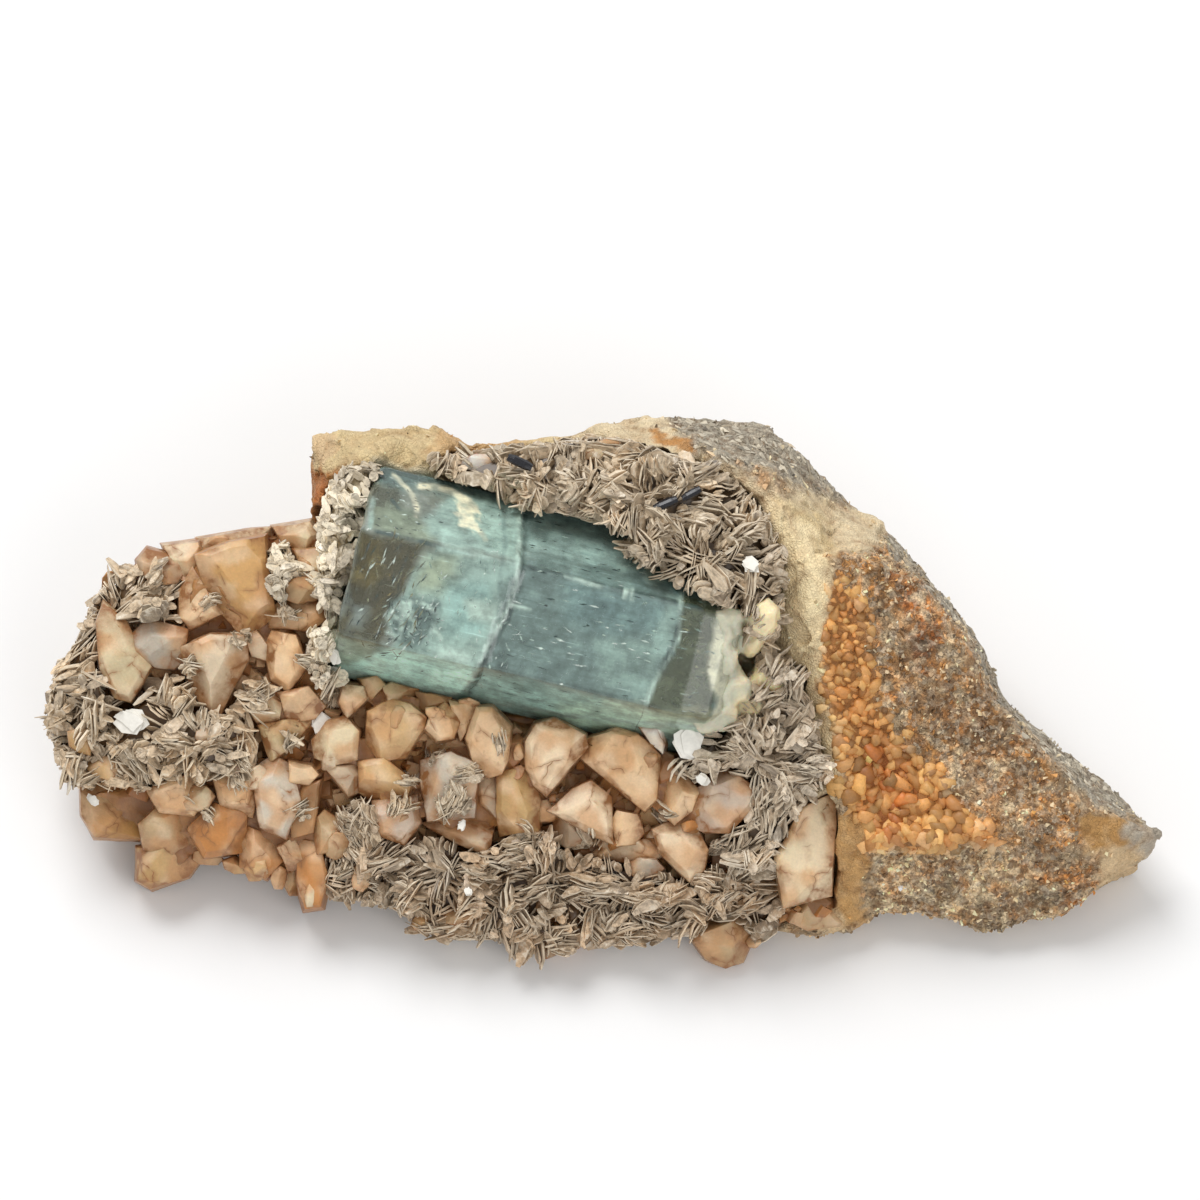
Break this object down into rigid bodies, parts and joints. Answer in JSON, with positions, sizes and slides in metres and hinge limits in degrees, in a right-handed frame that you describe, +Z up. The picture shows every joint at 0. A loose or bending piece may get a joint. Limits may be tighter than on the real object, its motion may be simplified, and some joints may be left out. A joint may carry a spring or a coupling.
{
  "type": "aquamarine crystal specimen on matrix",
  "caption": "Blunt hexagonal aquamarine prism grown in a pocket of feldspar crystals and mica on a loose wedge of pegmatite rock, resting on its flat underside.",
  "frame": {"origin": "centre of the flat underside that the specimen rests on", "axes": "+Z up, +X along the specimen towards its pointed end, the display face leans back and looks towards -Y"},
  "size_m": [0.1229, 0.0554, 0.0381],
  "materials": {
    "host_rock": "rough broken pegmatite: cream quartz, orange iron-stained grains and grey schist",
    "feldspar": "waxy peach and cream crystal faces with orange-brown stain in the cracks",
    "aquamarine": "translucent blue-green crystal, milky in places, with fine lengthwise striations",
    "muscovite": "pearly grey-brown mica books with pale edges"
  },
  "bodies": {
    "root": {"host_rock": "host_rock", "feldspar_crystals": "feldspar", "aquamarine_crystal": "aquamarine", "muscovite_above_aquamarine": "muscovite", "muscovite_beside_rim": "muscovite", "muscovite_lower_edge": "muscovite", "muscovite_left_lobe": "muscovite", "muscovite_behind_left_end": "muscovite"}
  },
  "joints": []
}
